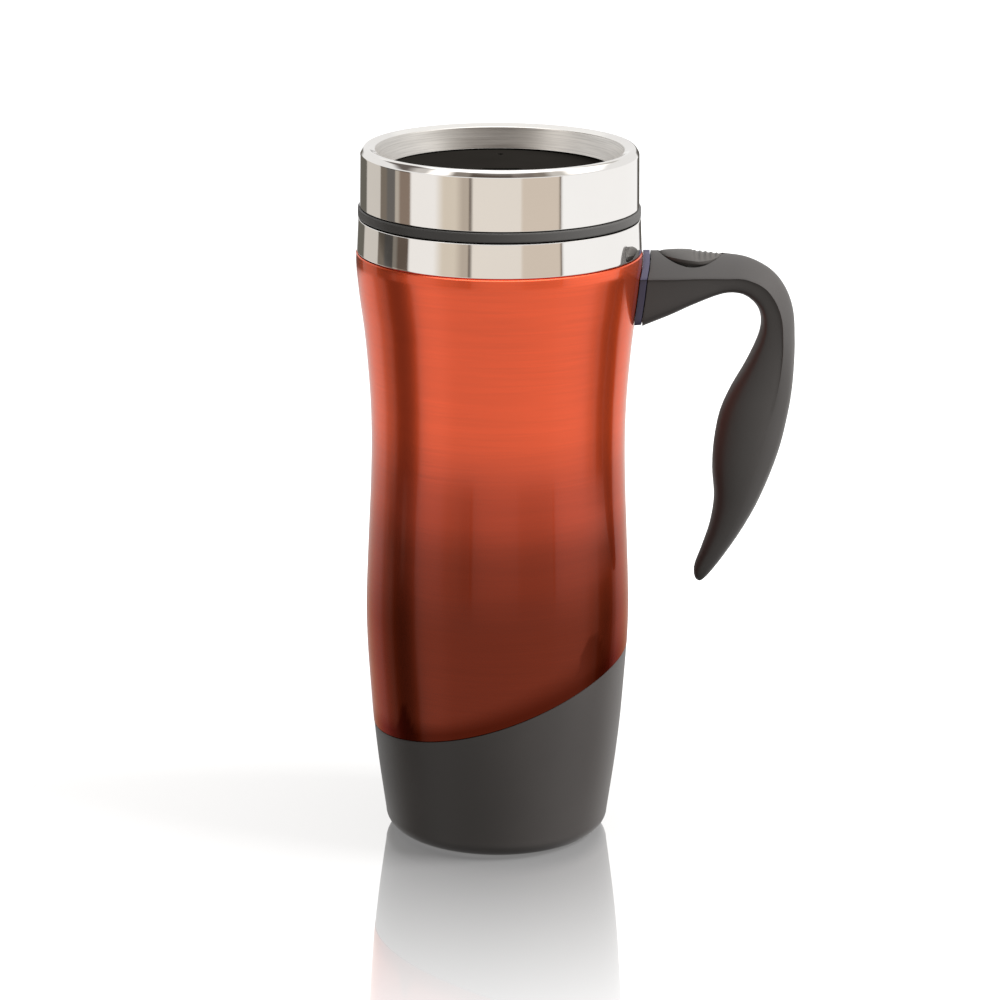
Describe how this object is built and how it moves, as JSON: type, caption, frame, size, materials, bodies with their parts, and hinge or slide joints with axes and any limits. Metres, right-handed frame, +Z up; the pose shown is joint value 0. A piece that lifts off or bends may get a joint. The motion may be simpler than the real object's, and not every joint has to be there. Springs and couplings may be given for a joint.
{
  "type": "insulated travel mug",
  "caption": "Waisted double-wall travel mug with a steel rim, a slanted black boot, an open one-sided handle and a press-in lid with a sip slider.",
  "frame": {"origin": "on the mug's axis, on the underside of the foot pad that it stands on", "axes": "+Z up along the mug's axis, +X towards the handle, -Y the side that the user drinks from"},
  "size_m": [0.1289, 0.0836, 0.2087],
  "materials": {
    "foot_pad": "matte",
    "soft_black": "matte",
    "red_shell": "gloss",
    "brushed_steel": "satin",
    "polished_steel": "polished",
    "screw_steel": "satin",
    "foam": "matte",
    "seal_rubber": "matte",
    "bracket_black": "satin",
    "button_black": "matte",
    "lid_black": "satin"
  },
  "bodies": {
    "mug": {"foot_pad": "foot_pad", "base_boot": "soft_black", "outer_shell": "red_shell", "steel_sleeve": "brushed_steel", "foam_insulation": "foam", "inner_liner": "brushed_steel", "rim_seal": "seal_rubber", "rim_band": "polished_steel", "handle_bracket": "bracket_black", "bracket_screw_upper": "screw_steel", "bracket_screw_lower": "screw_steel", "handle": "soft_black", "button_pin": "screw_steel", "button_spring": "screw_steel"},
    "button": {"thumb_button": "button_black"},
    "lid": {"lid_body": "lid_black", "lid_ring": "polished_steel", "lid_seal": "seal_rubber"},
    "slider": {"sip_slider": "lid_black", "slider_gasket": "seal_rubber", "slider_clip": "lid_black", "slider_screw": "screw_steel"}
  },
  "joints": [
    {"name": "lid_lift", "type": "slide", "parent": "mug", "child": "lid", "axis": [0, 0, 1], "range_m": [0, 0.04]},
    {"name": "sip_slide", "type": "slide", "parent": "lid", "child": "slider", "axis": [0, 1, 0], "range_m": [0, 0.007]},
    {"name": "button_press", "type": "hinge", "parent": "mug", "child": "button", "pos_m": [0.0636, 0, 0.1736], "axis": [0, -1, 0], "range_deg": [0, 7], "stiffness_Nm_per_rad": 0.25, "springref_deg": -4.58, "deforming": ["button_spring"]}
  ]
}
